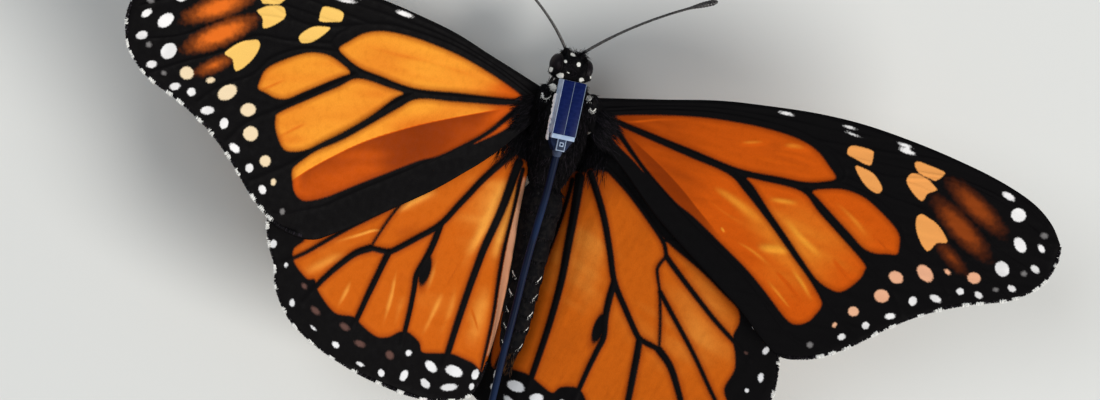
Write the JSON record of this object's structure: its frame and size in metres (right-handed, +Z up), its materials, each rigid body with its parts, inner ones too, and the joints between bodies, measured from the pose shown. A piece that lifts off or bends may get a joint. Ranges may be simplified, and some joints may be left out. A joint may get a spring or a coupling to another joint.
{
  "type": "monarch butterfly",
  "caption": "Life-size monarch butterfly standing with its wings spread, wearing a small radio tag with a whip antenna on its thorax.",
  "frame": {"origin": "middle of the bounding box, on the floor that the feet stand on", "axes": "+Z up, -Y the way the head points, +X the butterfly's left"},
  "size_m": [0.1064, 0.0506, 0.0241],
  "materials": {
    "fur": "black hair and scales over a black body, with white dots",
    "forewing": "orange scaled membrane with black veins and a black border dotted with white",
    "hindwing": "orange scaled membrane with black veins and a black border dotted with white",
    "eye": "glossy black compound eye",
    "cuticle": "black horny cuticle with a satin sheen",
    "tag_shell": "pale grey moulded case",
    "tag_panel": "dark blue solar cells under a clear coat",
    "tag_wire": "dark blue-black coated wire"
  },
  "bodies": {
    "root": {"head": "fur", "eye_l": "eye", "eye_r": "eye", "palp_l": "fur", "palp_r": "fur", "proboscis": "cuticle", "antenna_l": "cuticle", "antenna_r": "cuticle", "thorax": "fur", "abdomen": "fur", "forewing_l": "forewing", "forewing_r": "forewing", "hindwing_l": "hindwing", "hindwing_r": "hindwing", "foreleg_l": "cuticle", "foreleg_r": "cuticle", "midleg_l_femur": "cuticle", "midleg_l_tibia": "cuticle", "midleg_l_tarsus": "cuticle", "midleg_r_femur": "cuticle", "midleg_r_tibia": "cuticle", "midleg_r_tarsus": "cuticle", "hindleg_l_femur": "cuticle", "hindleg_l_tibia": "cuticle", "hindleg_l_tarsus": "cuticle", "hindleg_r_femur": "cuticle", "hindleg_r_tibia": "cuticle", "hindleg_r_tarsus": "cuticle", "tag_body": "tag_shell", "tag_panel": "tag_panel", "tag_cap": "tag_shell", "tag_plug": "tag_shell", "tag_antenna": "tag_wire"}
  },
  "joints": []
}
